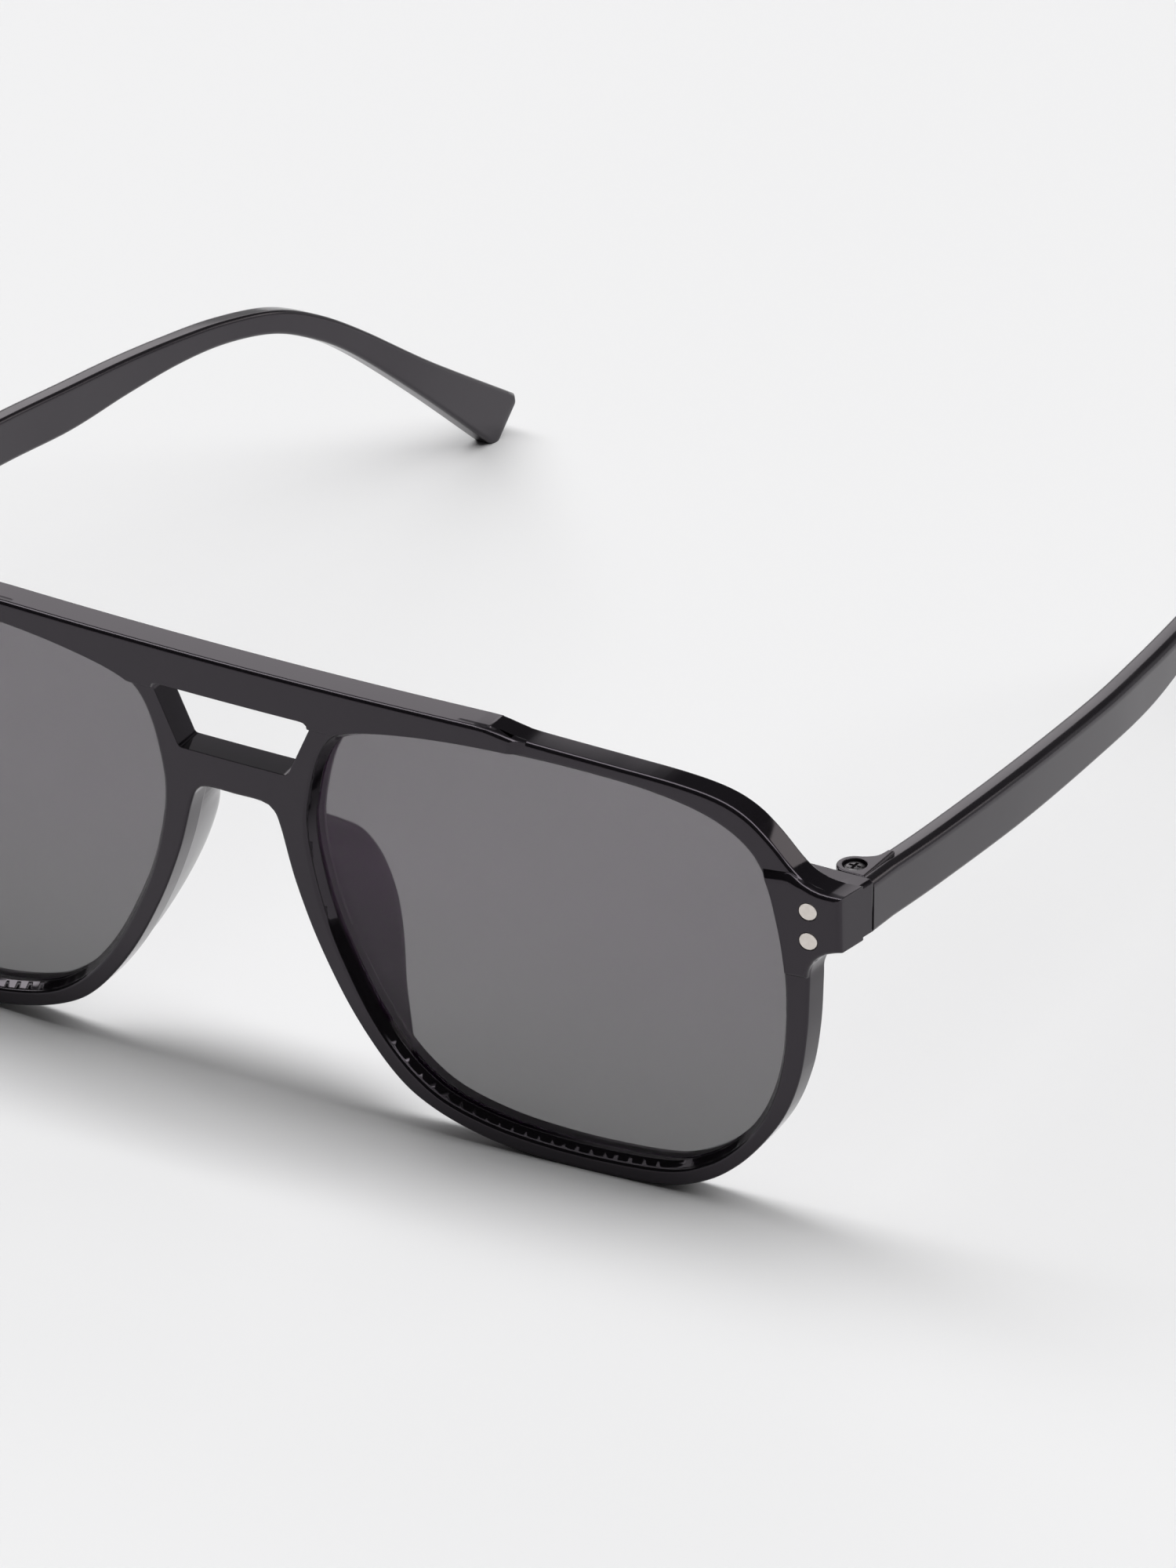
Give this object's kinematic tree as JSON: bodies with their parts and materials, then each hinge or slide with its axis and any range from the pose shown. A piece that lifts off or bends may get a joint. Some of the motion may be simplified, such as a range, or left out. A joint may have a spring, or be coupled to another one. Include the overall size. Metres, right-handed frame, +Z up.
{
  "type": "sunglasses",
  "caption": "Navigator-style sunglasses: one-piece black front with a raised brow bar and a bridge window, smoke lenses, nose pads, riveted end pieces and folding temples.",
  "frame": {"origin": "on the floor the open pair stands on, under the middle of its outline", "axes": "+X to the wearer's left, -Y the way the wearer looks, +Y along the temples to their tips, +Z up"},
  "size_m": [0.1406, 0.1508, 0.05],
  "materials": {
    "front_plastic": "polished black",
    "temple_plastic": "satin black",
    "pad_plastic": "polished black",
    "lens_smoke": "smoke grey tint",
    "rivet_metal": "satin",
    "screw_steel": "blackened",
    "insert_brass": "bright"
  },
  "bodies": {
    "front": {"front_frame": "front_plastic", "lens_left": "lens_smoke", "lens_right": "lens_smoke", "nose_pad_left": "pad_plastic", "nose_pad_right": "pad_plastic", "rivet_left_upper": "rivet_metal", "rivet_left_lower": "rivet_metal", "rivet_right_upper": "rivet_metal", "rivet_right_lower": "rivet_metal"},
    "left_arm": {"temple_left": "temple_plastic", "hinge_screw_left": "screw_steel", "hinge_insert_left": "insert_brass"},
    "right_arm": {"temple_right": "temple_plastic", "hinge_screw_right": "screw_steel", "hinge_insert_right": "insert_brass"}
  },
  "joints": [
    {"name": "left_temple_fold", "type": "hinge", "parent": "front", "child": "left_arm", "pos_m": [0.0669, -0.0634, 0.0359], "axis": [0, 0, 1], "range_deg": [0, 84]},
    {"name": "right_temple_fold", "type": "hinge", "parent": "front", "child": "right_arm", "pos_m": [-0.0669, -0.0634, 0.0359], "axis": [0, 0, -1], "range_deg": [0, 79]}
  ]
}
